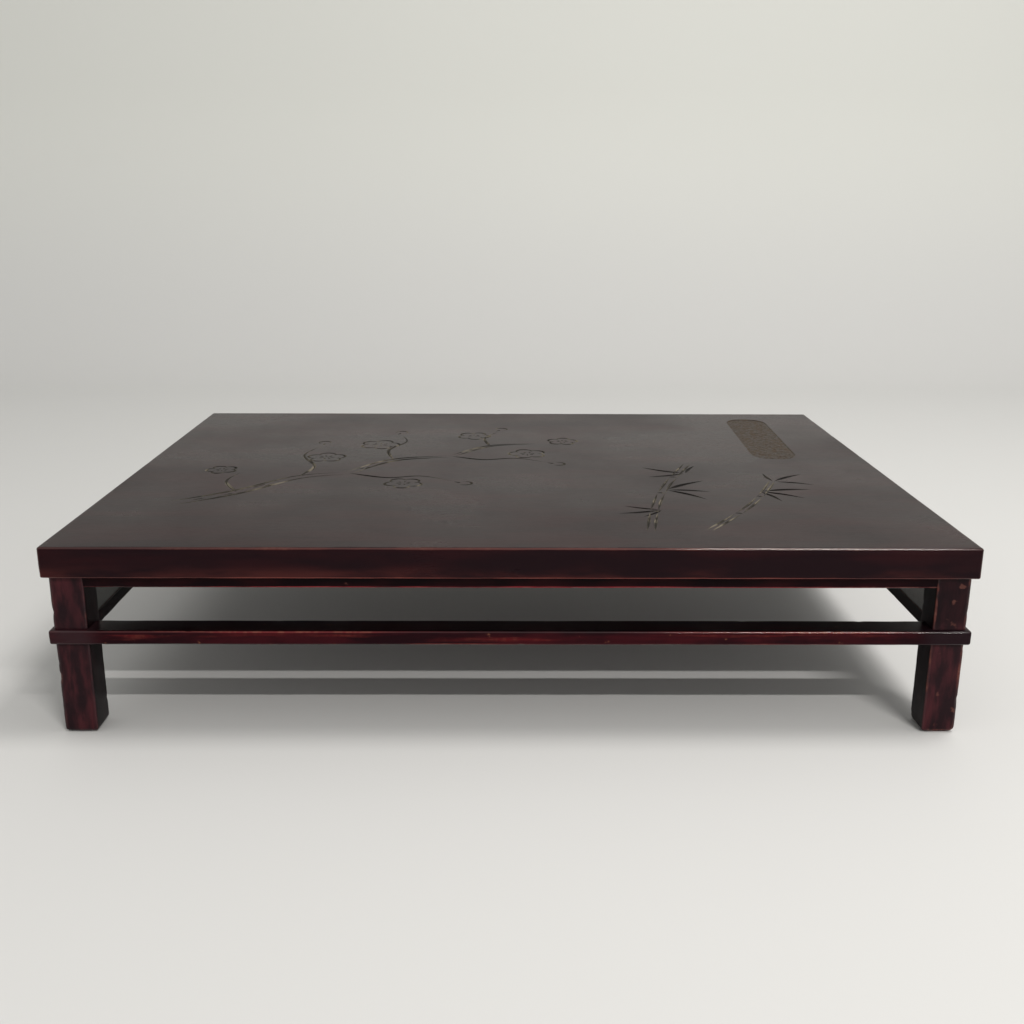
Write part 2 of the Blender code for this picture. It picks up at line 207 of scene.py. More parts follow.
# wood under the lacquer: long figure, fine pores, and where the lacquer is thin
def makeWoodFigure():
    values = {"Scale": 60.0, "Thin Stretch": (1.0, 1.0, 1.0), "Thin Scale": 22.0}
    tree, given, out = newGroup("woodFigure", values, ["Figure", "Pores", "Thin"])
    along = stretched(tree, given["Vector"], given["Stretch"])
    worked = stretched(tree, given["Vector"], given["Thin Stretch"])
    poreScale = times(tree, given["Scale"], noises["pores"]["finer"])
    figure = patchNode(tree, along, given["Scale"], "figure")
    pores = patchNode(tree, along, poreScale, "pores")
    thin = patchNode(tree, worked, given["Thin Scale"], "thin")
    feed(tree, out, (figure, pores, thin))
    return tree


# rubbed arrises: first the red under-coat shows, then bare wood in flecks; and chips anywhere
rubMake = {"patchReach": 0.7, "worn": (0.42, 0.95), "deep": (0.3, 0.8), "chipEdge": 0.09, "chipShare": 0.7}


def makeRubbedEdges():
    values = {
        "Rub": 0.0, "Patch Scale": 70.0, "Amount": 0.2, "Bare Amount": 0.6,
        "Fleck Scale": 300.0, "Chip Scale": 150.0, "Chip Limit": 0.8,
    }
    tree, given, out = newGroup("rubbedEdges", values, ["Worn", "Bare"])
    along = stretched(tree, given["Vector"], given["Stretch"])
    often = patchNode(tree, along, given["Patch Scale"], "often")
    fleck = patchNode(tree, given["Vector"], given["Fleck Scale"], "fleck")
    chip = noiseNode(tree, given["Vector"], given["Chip Scale"], "chip")
    reach = mathNode(tree, "ADD", times(tree, often, rubMake["patchReach"]), given["Amount"])
    worn = rangeNode(tree, times(tree, reach, given["Rub"]), *rubMake["worn"])
    deep = times(tree, fleck, rangeNode(tree, often, *rubMake["deep"]))
    bare = mathNode(tree, "MULTIPLY", times(tree, deep, worn), given["Bare Amount"], True)
    chipFull = mathNode(tree, "ADD", given["Chip Limit"], rubMake["chipEdge"])
    chips = times(tree, rangeNode(tree, chip, given["Chip Limit"], chipFull), rubMake["chipShare"])
    feed(tree, out, (worn, mathNode(tree, "MAXIMUM", bare, chips)))
    return tree


# handling: broad smudges and fine rubbing marks
def makeHandling():
    values = {"Smudge Scale": 9.0, "Mark Scale": 240.0}
    tree, given, out = newGroup("handling", values, ["Smudge", "Marks"])
    along = stretched(tree, given["Vector"], given["Stretch"])
    smudge = patchNode(tree, given["Vector"], given["Smudge Scale"], "smudge")
    feed(tree, out, (smudge, patchNode(tree, along, given["Mark Scale"], "marks")))
    return tree


woodFigure = makeWoodFigure()
rubbedEdges = makeRubbedEdges()
handling = makeHandling()


def newMaterial(name):
    material = bpy.data.materials.new(name)
    material.use_nodes = True
    tree = material.node_tree
    shader = tree.nodes["Principled BSDF"]
    spot = addNode(tree, "ShaderNodeTexCoord").outputs["Object"]
    return material, tree, shader, spot


def useGroup(tree, group, spot, **values):
    made = addNode(tree, "ShaderNodeGroup", node_tree=group)
    tree.links.new(spot, made.inputs["Vector"])
    for name, value in values.items():
        made.inputs[name.replace("_", " ")].default_value = value
    return made


def addRoughness(tree, shader, base, shares, **masks):
    # each mask adds its share
    rough = base
    for name, mask in masks.items():
        rough = mathNode(tree, "ADD", rough, times(tree, mask, shares[name]), True)
    tree.links.new(rough, shader.inputs["Roughness"])


def finishShader(tree, shader, colour, height, relief, index):
    # the relief is (distance, strength)
    tree.links.new(colour, shader.inputs["Base Color"])
    bump = addNode(tree, "ShaderNodeBump")
    setInputs(bump, Distance=relief[0], Strength=relief[1])
    tree.links.new(height, bump.inputs["Height"])
    tree.links.new(bump.outputs["Normal"], shader.inputs["Normal"])
    shader.inputs["IOR"].default_value = index


def axisMask(tree, vector, axis, low, high, least=0.0):
    # least to 1 as the distance along an axis, on either side, goes from low to high
    away = mathNode(tree, "ABSOLUTE", parted(tree, vector)[axis], 0.0)
    return rangeNode(tree, away, low, high, least)


# lacquered finishes, one set of values for each kind of piece; with a low index, glossy only at a low angle
lacquerLooks = {
    "board": {
        "deep": (22, 4, 10), "red": (37, 8, 13), "under": (69, 30, 27), "bare": (120, 82, 68),
        "grain": (1.0, 14.0, 14.0), "patches": (1.0, 5.0, 5.0), "streaks": (0.4, 1.5, 1.5),
        "thinScale": 14.0, "worn": 0.8, "bareAmount": 0.12, "chipLimit": 0.84,
        "gloss": 0.26, "index": 1.2, "coat": 0.9,
    },
    "leg": {
        "deep": (31, 15, 20), "red": (67, 30, 35), "under": (88, 43, 37), "bare": (94, 58, 51),
        "grain": (14.0, 14.0, 1.0), "patches": (2.6, 2.6, 0.7), "streaks": (1.5, 1.5, 0.9),
        "thinScale": 70.0, "worn": -0.05, "bareAmount": 1.0, "chipLimit": 0.72,
        "wornRight": 0.46, "chipLimitRight": 0.62,
        "gloss": 0.34, "index": 1.2, "coat": 0.25,
    },
    # the apron is darker than the other rails: painted shade under the board's overhang
    "apron": {
        "deep": (14, 3, 6), "red": (38, 9, 13), "under": (138, 42, 48), "bare": (140, 90, 80),
        "grain": (1.0, 14.0, 14.0), "patches": (1.0, 4.0, 4.0), "streaks": (0.4, 1.5, 1.5),
        "thinScale": 24.0, "worn": 0.75, "bareAmount": 0.25, "chipLimit": 0.74,
        "gloss": 0.3, "index": 1.14, "coat": 0.8,
    },
    "stretcher": {
        "deep": (28, 5, 11), "red": (57, 12, 19), "under": (88, 20, 24), "bare": (140, 92, 72),
        "streak": (114, 30, 32),
        "grain": (1.0, 14.0, 14.0), "patches": (1.0, 4.0, 4.0), "streaks": (0.14, 2.2, 2.2),
        "thinScale": 30.0, "worn": 0.44, "bareAmount": 0.32, "chipLimit": 0.66,
        "gloss": 0.3, "index": 1.15, "coat": 0.8,
    },
}
lacquerMake = {
    "grainScale": 26.0,
    "figureShare": 0.4,  # of the red that follows the wood's figure
    "arris": (0.65, 0.95),  # rub at which a face turns into an arris
    "smudges": 0.08, "marks": 0.05, "worn": 0.12,
    "poreDepth": 0.4, "figureHeight": 0.5, "relief": (0.03 * mm, 0.4),
}
arrisCoat = {"Coat Roughness": 0.11, "Coat IOR": 1.5}  # arrises polished by hands and cloths
boardFloorReflection = {  # painted reflection of the lit floor: redder and lighter low down on the edge, on its face and its lower arris
    "colour": (70, 31, 29), "under": (112, 54, 48),
    "from": 95.5 * mm, "to": 89.0 * mm, "share": 0.7,
}
handled = {"ends": 210 * mm, "middle": 110 * mm, "board": 0.4, "apron": 0.15}  # rubbed less at the ends
leftToRight = (-0.2, 0.2)  # along X, from the left-hand legs to the right-hand ones
legDarkLacquerAndShade = {"colour": (16, 4, 8), "share": 0.7, "rise": 6 * mm}  # right-hand legs, over the stretchers: darker lacquer, and painted shade
railGrimeAndShade = {  # round the legs: grime, with painted shade that makes it darker at the right
    "colour": (50, 32, 36), "colourRight": (32, 19, 24),
    "inside": 9 * mm, "outside": 3 * mm, "share": (0.92, 0.5),
}
railTopShade = {  # painted shade on the upper face, between the legs, under the board
    "colour": (9, 6, 7), "share": 0.9, "facing": (0.8, 0.97),
    "beyond": 1.0 * mm, "within": 0.5 * mm,
}
innerFacesShade = {"colour": (9, 5, 7), "share": 0.85, "facing": (-0.09, -0.15)}  # painted shade on faces that look inward


def inwardShadeMask(tree, spot):
    # 1 on faces that look towards the middle of the table, which get painted shade
    toward = addNode(tree, "ShaderNodeVectorMath", operation="DOT_PRODUCT")
    feed(tree, toward.inputs, (facingNode(tree), stretched(tree, spot, (1.0, 1.0, 0.0))))
    return rangeNode(tree, toward.outputs["Value"], *innerFacesShade["facing"])


# darker lacquer and painted shade on the right-hand legs, above the stretchers
def darkLacquerAndShadeOnLegs(tree, place, colour):
    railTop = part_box("stretcher_front")[1].z
    aboveRail = rangeNode(tree, place["Z"], railTop, railTop + legDarkLacquerAndShade["rise"])
    right = rangeNode(tree, place["X"], *leftToRight, 0.0, legDarkLacquerAndShade["share"])
    return mixColour(tree, times(tree, aboveRail, right), colour, legDarkLacquerAndShade["colour"])


# grime round the legs, and painted shade on the stretchers' upper faces
def railGrimeAndTopShade(tree, spot, colour, thin, lengthwise):
    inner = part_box("leg_back_right")[0]["XYZ".index(lengthwise)]
    # painted shade on the upper face, between the legs
    upper = times(tree, axisMask(tree, facingNode(tree), "Z", *railTopShade["facing"]), railTopShade["share"])
    between = axisMask(tree, spot, lengthwise, inner + railTopShade["beyond"], inner - railTopShade["within"])
    colour = mixColour(tree, times(tree, upper, between), colour, railTopShade["colour"])
    # grime round the legs, with painted shade that makes it darker at the right
    grime = axisMask(tree, spot, lengthwise, inner - railGrimeAndShade["inside"], inner + railGrimeAndShade["outside"])
    grime = times(tree, grime, rangeNode(tree, thin, 0.0, 1.0, *railGrimeAndShade["share"]))
    right = rangeNode(tree, parted(tree, spot)["X"], *leftToRight)
    grimeAndShadeColour = mixColour(tree, right, railGrimeAndShade["colour"], railGrimeAndShade["colourRight"])
    return mixColour(tree, grime, colour, grimeAndShadeColour)


def lacquer(name, kind, alongY=False):
    look = lacquerLooks[kind]
    material, tree, shader, spot = newMaterial(name)
    order = (1, 0, 2) if alongY else (0, 1, 2)
    lengthwise = "Y" if alongY else "X"
    patterns = [look[key] for key in ("grain", "patches", "streaks")]
    grain, patches, streaks = [tuple(pattern[axis] for axis in order) for pattern in patterns]
    thin = {"Thin_Stretch": patches, "Thin_Scale": look["thinScale"]}
    scale = lacquerMake["grainScale"]
    figure = useGroup(tree, woodFigure, spot, Stretch=grain, Scale=scale, **thin).outputs
    wear = {"Amount": look["worn"], "Bare_Amount": look["bareAmount"], "Chip_Limit": look["chipLimit"]}
    edges = useGroup(tree, rubbedEdges, spot, Stretch=streaks, **wear)
    rub = addNode(tree, "ShaderNodeAttribute", attribute_name="rub").outputs["Fac"]
    tree.links.new(rub, edges.inputs["Rub"])
    marks = useGroup(tree, handling, spot, Stretch=grain).outputs
    grainy = times(tree, figure["Figure"], lacquerMake["figureShare"])
    grainy = mathNode(tree, "ADD", grainy, 1 - lacquerMake["figureShare"])
    colour = mixColour(tree, times(tree, figure["Thin"], grainy), look["deep"], look["red"])
    under = look["under"]
    arris = rangeNode(tree, rub, *lacquerMake["arris"])
    if kind == "leg":  # the right-hand legs have had more knocks
        place = parted(tree, spot)
        for socket, key in (("Amount", "worn"), ("Chip Limit", "chipLimit")):
            knocks = rangeNode(tree, place["X"], *leftToRight, look[key], look[key + "Right"])
            tree.links.new(knocks, edges.inputs[socket])
        # darker lacquer and painted shade on the right-hand legs, above the stretchers
        colour = darkLacquerAndShadeOnLegs(tree, place, colour)
    if kind == "board":
        # painted reflection of the lit floor, low on the board's edge
        low = axisMask(tree, spot, "Z", boardFloorReflection["from"], boardFloorReflection["to"])
        under = mixColour(tree, low, under, boardFloorReflection["under"])
        low = times(tree, low, times(tree, figure["Thin"], boardFloorReflection["share"]))
        colour = mixColour(tree, low, colour, boardFloorReflection["colour"])
    if kind == "stretcher":
        under = mixColour(tree, arris, look["streak"], under)
    worn = edges.outputs["Worn"]
    if kind in handled:
        often = axisMask(tree, spot, lengthwise, handled["ends"], handled["middle"], handled[kind])
        worn = times(tree, worn, often)
    colour = mixColour(tree, worn, colour, under)
    colour = mixColour(tree, edges.outputs["Bare"], colour, look["bare"])
    if kind == "stretcher":
        # grime, and painted shade on the upper faces, on the stretchers
        colour = railGrimeAndTopShade(tree, spot, colour, figure["Thin"], lengthwise)
    if kind != "board":
        # painted shade on the faces that look inward
        inward = times(tree, inwardShadeMask(tree, spot), innerFacesShade["share"])
        colour = mixColour(tree, inward, colour, innerFacesShade["colour"])
    masks = {"smudges": marks["Smudge"], "marks": marks["Marks"], "worn": worn}
    addRoughness(tree, shader, look["gloss"], lacquerMake, **masks)
    tree.links.new(times(tree, arris, look["coat"]), shader.inputs["Coat Weight"])
    height = times(tree, figure["Pores"], -lacquerMake["poreDepth"])
    height = mathNode(tree, "ADD", height, times(tree, figure["Figure"], lacquerMake["figureHeight"]))
    height = mathNode(tree, "SUBTRACT", height, edges.outputs["Bare"])
    finishShader(tree, shader, colour, height, lacquerMake["relief"], look["index"])
    setInputs(shader, **arrisCoat)
    return material


def railLacquers(kind):
    # the side rails have their grain along Y
    along = lacquer(kind + "Lacquer", kind)
    across = lacquer(kind + "SideLacquer", kind, True)
    return {"front": along, "right": across, "back": along, "left": across}


# unlacquered wood under the table; the battens' back ends are lacquered with the board's edge
plainLooks = {
    "battenWood": {
        "early": (62, 32, 26), "late": (38, 17, 16),
        "grain": (14.0, 1.0, 14.0), "scale": 30.0, "index": 1.25,
    },
    "looseTenonWood": {
        "early": (150, 112, 78), "late": (112, 78, 52),
        "grain": (1.0, 14.0, 14.0), "scale": 60.0, "index": 1.45,
    },
}
plainMake = {
    "pore": (36, 22, 16), "poreShare": 0.6,
    "gloss": 0.52, "smudges": 0.18, "relief": (0.08 * mm, 0.6),
}
battenEnd = {"colour": (44, 15, 17), "from": 1.2 * mm, "to": 0.4 * mm}


def plainWood(name):
    look = plainLooks[name]
    material, tree, shader, spot = newMaterial(name)
    figure = useGroup(tree, woodFigure, spot, Stretch=look["grain"], Scale=look["scale"]).outputs
    marks = useGroup(tree, handling, spot, Stretch=look["grain"]).outputs
    colour = mixColour(tree, figure["Figure"], look["late"], look["early"])
    pores = times(tree, figure["Pores"], plainMake["poreShare"])
    colour = mixColour(tree, pores, colour, plainMake["pore"])
    if name == "battenWood":
        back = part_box("batten_left")[1].y
        end = axisMask(tree, spot, "Y", back - battenEnd["from"], back - battenEnd["to"])
        colour = mixColour(tree, end, colour, battenEnd["colour"])
    addRoughness(tree, shader, plainMake["gloss"], plainMake, smudges=marks["Smudge"])
    height = mathNode(tree, "SUBTRACT", figure["Figure"], figure["Pores"])
    finishShader(tree, shader, colour, height, plainMake["relief"], look["index"])
    return material


# walls of the cut lines, and the punched ground of the oblong recess
cutLooks = {
    "cutLine": {
        # pale: dust, and a painted highlight on the walls that face left and right
        "dark": (12, 9, 8), "pale": (122, 115, 102), "dust": (0.1, 0.85),
        "scale": 90.0, "rough": 0.6, "index": 1.2,
    },
    "punchedGround": {
        "dark": (24, 13, 7), "pale": (62, 43, 23),
        "scale": 420.0, "rough": 0.42, "index": 1.33,
    },
}
cutMake = {"markScale": 900.0, "dustFacing": (0.25, 0.6), "smudges": 0.2, "relief": (0.05 * mm, 0.5)}


def cutWood(name):
    look = cutLooks[name]
    material, tree, shader, spot = newMaterial(name)
    scales = {"Smudge_Scale": look["scale"], "Mark_Scale": cutMake["markScale"]}
    marks = useGroup(tree, handling, spot, **scales).outputs
    pale = marks["Smudge"]
    if "dust" in look:  # dust, and a painted highlight, on the walls that face left and right, those of the strokes that run front to back
        pale = rangeNode(tree, pale, 0.0, 1.0, *look["dust"])
        pale = times(tree, pale, axisMask(tree, facingNode(tree), "X", *cutMake["dustFacing"]))
    colour = mixColour(tree, pale, look["dark"], look["pale"])
    addRoughness(tree, shader, look["rough"], cutMake, smudges=marks["Smudge"])
    finishShader(tree, shader, colour, marks["Marks"], cutMake["relief"], look["index"])
    return material


boardLacquer = lacquer("boardLacquer", "board")
legLacquer = lacquer("legLacquer", "leg")
apronLacquers = railLacquers("apron")
stretcherLacquers = railLacquers("stretcher")
battenWood = plainWood("battenWood")
looseTenonWood = plainWood("looseTenonWood")
cutLine = cutWood("cutLine")
punchedGround = cutWood("punchedGround")
print("materials made:", len(bpy.data.materials))

# mesh helpers: a ring is a list of (point, rub), where rub is 1 on an arris and 0 on a face
ringMake = {
    "arcSteps": 4, "step": 0.05 * mm, "merge": 0.002 * mm, "sharp": 32,
    "fade": 0.9 * mm, "mostFade": 0.3,  # on to a face, and share of a face
    "edgeRub": 0.4,
}
handMake = {"offset": (1.7, 0.9, 2.3), "dentFrom": 0.9, "softFrom": 0.1, "levelFrom": 0.999}


def span(start, end, spacing):
    count = max(1, round(abs(end - start) / spacing))
    return [start + (end - start) * index / count for index in range(count + 1)]


def midArris(share, edge=ringMake["edgeRub"]):
    # the rub is strongest in the middle of an arris
    return edge + (1 - edge) * math.sin(math.pi * share)


def roundedRing(low, high, radii, mids, faceRub=(0.0, 0.0, 0.0, 0.0), wear=ringMake):
    corners = ((low[0], low[1]), (high[0], low[1]), (high[0], high[1]), (low[0], high[1]))
    inward = ((1, 1), (-1, 1), (-1, -1), (1, -1))
    steps = ringMake["arcSteps"]
    arcs = []
    for index, (corner, turn) in enumerate(zip(corners, inward)):
        radius = radii[index]
        centre = Vector((corner[0] + turn[0] * radius, corner[1] + turn[1] * radius))
        angles = [math.pi * (1 + index / 2 + step / steps / 2) for step in range(steps + 1)]
        arcs.append([centre + radius * Vector((math.cos(angle), math.sin(angle))) for angle in angles])
    ring = []
    for index in range(4):
        for step, point in enumerate(arcs[index]):
            ring.append((point, midArris(step / steps, wear["edgeRub"])))
        start = arcs[index][-1]
        run = arcs[(index + 1) % 4][0] - start
        inset = min(wear["fade"] / run.length, ringMake["mostFade"])
        count = mids[index % 2]
        for step in range(count):
            share = inset + (1 - 2 * inset) * step / (count - 1)
            ring.append((start + run * share, faceRub[index]))
    return ring


# small faults of hand work and use: faces wander, arrises are rubbed and dented
# wander and rub are (depth, length) in mm, and each dent's reach and depth are drawn between two ends
def workByHand(build, rub, seed, hand, flatTop=False):
    build.normal_update()
    draw = random.Random(seed)
    offset = Vector([seed * share for share in handMake["offset"]])
    sizes = [[size * mm for size in hand[key]] for key in ("wander", "rub", "reach", "depth")]
    (wander, wanderLength), (rubbed, rubLength), dentReach, dentDepth = sizes
    arris = [vert for vert in build.verts if vert[rub] > handMake["dentFrom"]]
    dents = []
    for _ in range(hand["dents"]):
        middle = draw.choice(arris).co.copy()
        dents.append((middle, draw.uniform(*dentReach), draw.uniform(*dentDepth)))
    for vert in build.verts:
        drift = noise.noise(vert.co / wanderLength + offset) * wander
        soft = max(0.0, noise.noise(vert.co / rubLength - offset) + handMake["softFrom"])
        soft = soft * rubbed * vert[rub]
        pressed = 0.0
        for middle, reach, depth in dents:
            away = (vert.co - middle).length
            if away < reach:
                pressed += depth * (1 - (away / reach) ** 2) ** 2
        if flatTop and vert.normal.z > handMake["levelFrom"]:
            continue
        vert.co -= vert.normal * (soft + pressed + drift)
        vert.co.z = max(vert.co.z, 0.0)  # the feet stay on the floor


def joinRows(build, rows, closed=True):
    for row, nextRow in zip(rows, rows[1:]):
        for index in range(len(row) if closed else len(row) - 1):
            after = (index + 1) % len(row)
            build.faces.new((row[index], row[after], nextRow[after], nextRow[index]))


def loft(node, rings, seed, hand, material, flatTop=False):
    first, *rest = node.split("_")
    name = first + "".join(word.title() for word in rest)
    build = bmesh.new()
    rub = build.verts.layers.float.new("rub")
    rows = []
    for ring in rings:
        row = []
        for point, worn in ring:
            vert = build.verts.new(point)
            vert[rub] = worn
            row.append(vert)
        rows.append(row)
    joinRows(build, rows)
    build.faces.new(list(reversed(rows[0])))
    build.faces.new(rows[-1])
    bmesh.ops.remove_doubles(build, verts=build.verts, dist=ringMake["merge"])
    bmesh.ops.recalc_face_normals(build, faces=build.faces)
    workByHand(build, rub, seed, hand, flatTop)
    mesh = bpy.data.meshes.new(name)
    build.to_mesh(mesh)
    build.free()
    smoothShape(mesh)
    mesh.materials.append(material)
    return addObject(name, mesh)


def smoothShape(mesh):
    mesh.polygons.foreach_set("use_smooth", [True] * len(mesh.polygons))
    mesh.set_sharp_from_angle(angle=math.radians(ringMake["sharp"]))


def handOver(piece, node):
    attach(piece, "root")
    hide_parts(node)


def asFront(node, side):
    # a node's box, turned so that its side of the table faces the front
    turn = Matrix.Rotation(-math.pi / 2 * sides.index(side), 3, "Z")
    ends = [turn @ Vector(corner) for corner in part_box(node)]
    return Vector(map(min, *ends)), Vector(map(max, *ends))


def turnedTo(side, rings):
    turn = Matrix.Rotation(math.pi / 2 * sides.index(side), 3, "Z")
    return [[(turn @ point, rub) for point, rub in ring] for ring in rings]


def upright(along, section):
    return [(Vector((along, -point.x, point.y)), rub) for point, rub in section]


# legs: square posts with a soft outer arris and worn feet, housed round the stretchers
legShape = {
    "outerArris": 1.7 * mm, "arris": 0.9 * mm, "innerArris": 0.5 * mm,
    "footRound": 2.7 * mm, "footSteps": 4,
    "housing": 3.3 * mm, "station": 2.2 * mm, "mids": (3, 3),
    "fade": 1.6 * mm, "edgeRub": 0.85,  # worn well on to the faces
}
legHand = {
    "seed": 11, "wander": (0.08, 30), "rub": (0.15, 9),
    "dents": 18, "reach": (1.8, 5.0), "depth": (0.15, 0.5),
}


def legRing(low, high, height, inset, notch):
    outer = [1 if low[axis] > 0 else -1 for axis in (0, 1)]
    lowSide = [low[axis] + inset + (notch if outer[axis] < 0 else 0) for axis in (0, 1)]
    highSide = [high[axis] - inset - (notch if outer[axis] > 0 else 0) for axis in (0, 1)]
    corner = [(-1, -1), (1, -1), (1, 1), (-1, 1)].index(tuple(outer))
    radii = [legShape["arris"]] * 4
    radii[corner] = legShape["outerArris"]
    radii[corner - 2] = legShape["innerArris"]
    ring = roundedRing(lowSide, highSide, radii, legShape["mids"], wear=legShape)
    footRub = 1.0 if inset > 0 else 0.0
    return [(Vector((point.x, point.y, height)), max(rub, footRub)) for point, rub in ring]


def addLeg(node, seed):
    low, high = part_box(node)
    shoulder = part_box("top_board")[0].z + seat
    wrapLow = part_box("stretcher_front")[0].z - fitGap
    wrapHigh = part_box("stretcher_front")[1].z + fitGap
    footRound = legShape["footRound"]
    step = ringMake["step"]
    levels = []
    for index in range(legShape["footSteps"] + 1):
        angle = math.pi / 2 * index / legShape["footSteps"]
        levels.append((footRound * (1 - math.cos(angle)), footRound * (1 - math.sin(angle)), 0.0))
    footTop = footRound + ringMake["fade"]
    levels += [(height, 0.0, 0.0) for height in span(footTop, wrapLow, legShape["station"])]
    levels += [(wrapLow + step, 0.0, legShape["housing"]), (wrapHigh - step, 0.0, legShape["housing"])]
    levels += [(height, 0.0, 0.0) for height in span(wrapHigh, shoulder, legShape["station"])]
    rings = [legRing(low, high, *level) for level in levels]
    handOver(loft(node, rings, seed, legHand, legLacquer), node)


legNodes = ["leg_front_left", "leg_front_right", "leg_back_right", "leg_back_left"]
for index, node in enumerate(legNodes):
    addLeg(node, legHand["seed"] + index)
print("legs made:", len(legNodes))

# stretchers: flat rails round the outside of the legs, rounded and mitred at the corners
stretcherShape = {
    "corner": 1.6 * mm, "cornerSteps": 6,
    "upperArris": 1.1 * mm, "lowerArris": 1.2 * mm, "innerArris": 0.5 * mm,
    "station": 2.5 * mm, "mids": (3, 3),
    "faceRub": (0.0, 0.6, 0.0, 0.0),  # the outer face is rubbed too
}
stretcherHand = {
    "seed": 31, "wander": (0.08, 60), "rub": (0.18, 14),
    "dents": 14, "reach": (1.5, 4.0), "depth": (0.1, 0.3),
}


def addStretcher(side, seed):
    node = "stretcher_" + side
    low, high = asFront(node, side)
    legLow = asFront(endLegs[side], side)[0]
    neighbour = "stretcher_" + sides[(sides.index(side) + 1) % 4]
    corner = stretcherShape["corner"]
    reach = asFront(neighbour, side)[1].x - corner  # middle of the rounded corner, along and outward
    depth = -low.y - corner
    cheekBack = -legLow.y - legShape["housing"] + fitGap
    shoulder = legLow.x + seat
    radii = [stretcherShape[name] for name in ("innerArris", "lowerArris", "upperArris", "innerArris")]

    def section(inner):
        ends = (inner, low.z), (-low.y, high.z)
        return roundedRing(*ends, radii, stretcherShape["mids"], stretcherShape["faceRub"])

    def rounded(angle):
        ring = []
        for point, rub in section(cheekBack):
            out = point.x - depth
            out = out if out > 0 else out / math.cos(angle)
            spot = Vector((reach + out * math.sin(angle), -depth - out * math.cos(angle), point.y))
            ring.append((spot, rub))
        return ring

    lastAngle = math.pi / 4 - math.asin(fitGap / 2 / corner)
    steps = stretcherShape["cornerSteps"]
    end = [rounded(lastAngle * index / steps) for index in range(steps, 0, -1)]
    station = stretcherShape["station"]
    end += [upright(along, section(cheekBack)) for along in span(reach, shoulder, station)]
    middle = span(shoulder - ringMake["step"], -shoulder + ringMake["step"], station)
    mirrored = [[(Vector((-p.x, p.y, p.z)), rub) for p, rub in ring] for ring in reversed(end)]
    rings = end + [upright(along, section(-high.y)) for along in middle] + mirrored
    piece = loft(node, turnedTo(side, rings), seed, stretcherHand, stretcherLacquers[side])
    handOver(piece, node)


for index, side in enumerate(sides):
    addStretcher(side, stretcherHand["seed"] + index)
print("stretchers made:", len(sides))

# aprons: thin rails under the board, between the legs
apronShape = {"lowerArris": 1.0 * mm, "arris": 0.4 * mm, "station": 3.0 * mm, "mids": (2, 3)}
apronHand = {
    "seed": 51, "wander": (0.08, 60), "rub": (0.12, 12),
    "dents": 8, "reach": (1.2, 3.0), "depth": (0.08, 0.2),
}


def addApron(side, seed):
    node = "apron_" + side
    low, high = asFront(node, side)
    shoulder = asFront(endLegs[side], side)[0].x + seat
    radii = [apronShape[name] for name in ("lowerArris", "lowerArris", "arris", "arris")]
    section = roundedRing((-high.y, low.z), (-low.y, high.z + fitGap), radii, apronShape["mids"])
    rings = [upright(along, section) for along in span(shoulder, -shoulder, apronShape["station"])]
    piece = loft(node, turnedTo(side, rings), seed, apronHand, apronLacquers[side])
    handOver(piece, node)


for index, side in enumerate(sides):
    addApron(side, apronHand["seed"] + index)
print("aprons made:", len(sides))

# board: one thick plank with softened arrises
boardShape = {
    "arris": 1.2 * mm, "lowerArris": 0.9 * mm,
    "corner": 1.3 * mm, "leastCorner": 0.3 * mm,
    "spacing": 4.0 * mm, "flatFrom": 0.9999,
}
boardHand = {
    "seed": 71, "wander": (0.05, 90), "rub": (0.14, 16),
    "dents": 22, "reach": (1.5, 4.5), "depth": (0.06, 0.2),
}


def boardRings(low, high):
    steps = ringMake["arcSteps"]
    fade = ringMake["fade"]
    upper = boardShape["arris"]
    lower = boardShape["lowerArris"]
    arc = [(math.pi / 2 * index / steps, midArris(index / steps)) for index in range(steps + 1)]
    levels = [(lower + 2 * fade, low.z, None), (lower + fade, low.z, None)]
    for angle, worn in arc:
        levels.append((lower * (1 - math.sin(angle)), low.z + lower * (1 - math.cos(angle)), worn))
    middle = span(low.z + lower + fade, high.z - upper - fade, boardShape["spacing"])
    levels += [(0.0, height, 0.0) for height in middle]
    for angle, worn in arc:
        levels.append((upper * (1 - math.cos(angle)), high.z - upper * (1 - math.sin(angle)), worn))
    levels += [(upper + fade, high.z, None), (upper + 2 * fade, high.z, None)]
    mids = [round((high[axis] - low[axis]) / boardShape["spacing"]) for axis in (0, 1)]
    rings = []
    for inset, height, levelRub in levels:
        corner = max(boardShape["corner"] - inset, boardShape["leastCorner"])
        ends = (low.x + inset, low.y + inset), (high.x - inset, high.y - inset)
        ring = []
        for point, rub in roundedRing(*ends, [corner] * 4, mids):
            worn = 0.0 if levelRub is None else max(rub, levelRub)
            ring.append((Vector((point.x, point.y, height)), worn))
        rings.append(ring)
    return rings


# cut lines: each is (points in mm from the middle of the top, widest, half width over depth, deepest at)
carve = {"lift": 0.06 * mm, "over": 0.4 * mm, "spacing": 1.6 * mm, "sole": 0.12, "leastSole": 0.02 * mm}
slopes = {"line": 1.1, "tick": 1.0, "leaf": 2.6}  # half width over depth, for each kind of cut
strokes = []


def cut(points, wide, kind="line", deepest=0.5):
    strokes.append((points, wide * mm, slopes[kind], deepest))


def polar(middle, reach, degrees):
    angle = math.radians(degrees)
    return (middle[0] + reach * math.cos(angle), middle[1] + reach * math.sin(angle))


